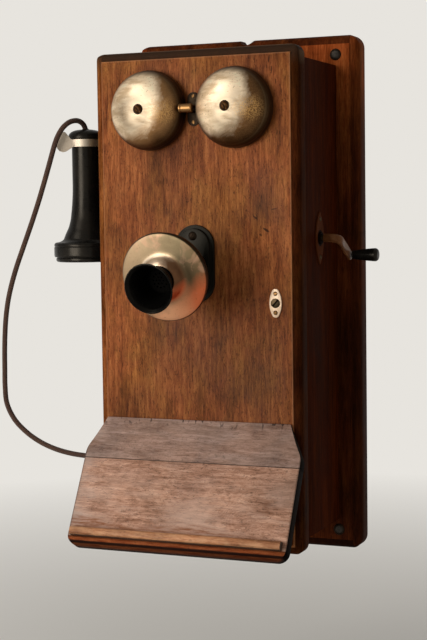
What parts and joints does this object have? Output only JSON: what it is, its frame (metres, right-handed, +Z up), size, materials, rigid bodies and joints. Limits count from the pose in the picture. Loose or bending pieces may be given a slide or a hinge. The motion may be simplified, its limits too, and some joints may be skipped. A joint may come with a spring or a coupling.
{
  "type": "wall telephone",
  "caption": "Wooden magneto wall telephone with twin bells, tilting transmitter, hand crank, hook and corded receiver, and a sloping writing shelf on a hinged door.",
  "frame": {"origin": "centre of the four wall screw holes, in the plane of the wall behind the backboard", "axes": "+X to the viewer's right, +Y into the wall, +Z up; the door faces -Y"},
  "size_m": [0.3919, 0.271, 0.521],
  "materials": {
    "dark_wood": "dark stained oak, worn varnish",
    "door_wood": "reddish brown oak, vertical grain, satin varnish",
    "shelf_wood": "worn pale oak with horizontal grain",
    "inner_wood": "bare wood",
    "brass": "tarnished brass",
    "nickel": "worn nickel plate",
    "gong_nickel": "nickel plate worn to warm brass in patches",
    "steel": "bright steel, oiled",
    "iron": "soft iron",
    "black_iron": "black japanned",
    "hard_rubber": "polished black hard rubber",
    "magnet_red": "red enamel",
    "green_silk": "green silk-wound wire, shellacked",
    "cell_paper": "plain buff card sleeve",
    "cord_braid": "brown cotton braid"
  },
  "bodies": {
    "cabinet": {"backboard": "dark_wood", "cabinet_side_left": "dark_wood", "cabinet_side_right": "dark_wood", "cabinet_top": "dark_wood", "cabinet_bottom": "dark_wood", "magneto_shelf": "inner_wood", "cabinet_hinge_leaves": "brass", "hinge_pins": "steel", "strike_plate": "brass", "crank_escutcheon": "nickel", "magneto_frame": "brass", "magneto_magnets": "magnet_red", "magneto_pole_shoes": "iron", "hook_bracket": "brass", "hook_contact_springs": "brass", "induction_coil": "green_silk", "terminal_strip": "inner_wood", "binding_posts": "brass", "dry_cells": "cell_paper", "cell_terminals": "brass", "cord_bushing": "hard_rubber", "receiver_cord": "cord_braid"},
    "door": {"door_panel": "door_wood", "door_hinge_leaves": "brass", "lock_escutcheon": "nickel", "gong_left": "gong_nickel", "gong_right": "gong_nickel", "gong_posts": "brass", "clapper_plate": "black_iron", "ringer_frame": "iron", "ringer_coils": "green_silk", "ringer_magnet": "magnet_red", "transmitter_base": "black_iron", "shelf_upper_plank": "shelf_wood", "shelf_lower_plank": "shelf_wood", "pencil_ledge": "shelf_wood", "shelf_brackets": "dark_wood"},
    "lock": {"lock_spindle": "nickel", "lock_cam": "brass"},
    "clapper": {"clapper_armature": "iron", "clapper_hammer": "brass"},
    "transmitter": {"transmitter_arm": "black_iron", "transmitter_cup": "black_iron", "transmitter_face": "gong_nickel", "transmitter_button": "brass", "mouthpiece": "hard_rubber"},
    "crank": {"crank_shaft": "steel", "drive_gear": "brass", "crank_arm": "brass"},
    "crank_grip": {"crank_grip": "hard_rubber"},
    "armature": {"armature_core": "iron", "armature_winding": "green_silk", "armature_pinion": "brass"},
    "hook": {"hook_fork": "nickel"},
    "receiver": {"receiver_shell": "hard_rubber", "receiver_ear_cap": "hard_rubber", "receiver_top_cap": "hard_rubber", "receiver_diaphragm": "iron", "receiver_magnet": "iron"}
  },
  "joints": [
    {"name": "door_swing", "type": "hinge", "parent": "cabinet", "child": "door", "pos_m": [-0.101, -0.1368, 0], "axis": [0, 0, 1], "range_deg": [-95, 0]},
    {"name": "lock_turn", "type": "hinge", "parent": "door", "child": "lock", "pos_m": [0.081, -0.1571, -0.0009], "axis": [0, -1, 0], "range_deg": [0, 90]},
    {"name": "clapper_rock", "type": "hinge", "parent": "door", "child": "clapper", "pos_m": [0, -0.1185, 0.1824], "axis": [0, 0, 1], "range_deg": [-1.6, 1.6], "stiffness_Nm_per_rad": 0.02},
    {"name": "transmitter_tilt", "type": "hinge", "parent": "door", "child": "transmitter", "pos_m": [0, -0.1938, 0.0354], "axis": [1, 0, 0], "range_deg": [-30, 15]},
    {"name": "crank_turn", "type": "hinge", "parent": "cabinet", "child": "crank", "pos_m": [0, -0.08, 0.0583], "axis": [1, 0, 0], "continuous": true},
    {"name": "grip_spin", "type": "hinge", "parent": "crank", "child": "crank_grip", "pos_m": [0.12, -0.04698, 0.04096], "axis": [1, 0, 0], "continuous": true},
    {"name": "armature_spin", "type": "hinge", "parent": "cabinet", "child": "armature", "pos_m": [0, -0.08, 0.0223], "axis": [1, 0, 0], "continuous": true},
    {"name": "receiver_lift", "type": "slide", "parent": "cabinet", "child": "receiver", "axis": [-0.6, 0, 0.8], "range_m": [0, 0.14], "deforming": ["receiver_cord"]},
    {"name": "hook_rise", "type": "hinge", "parent": "cabinet", "child": "hook", "pos_m": [-0.077, -0.0971, 0.15665], "axis": [0, 1, 0], "range_deg": [0, 8]}
  ],
  "couplings": [
    {"joint": "armature_spin", "follows": "crank_turn", "ratio": -5},
    {"joint": "hook_rise", "follows": "receiver_lift", "rad_per_m": 0.95}
  ]
}
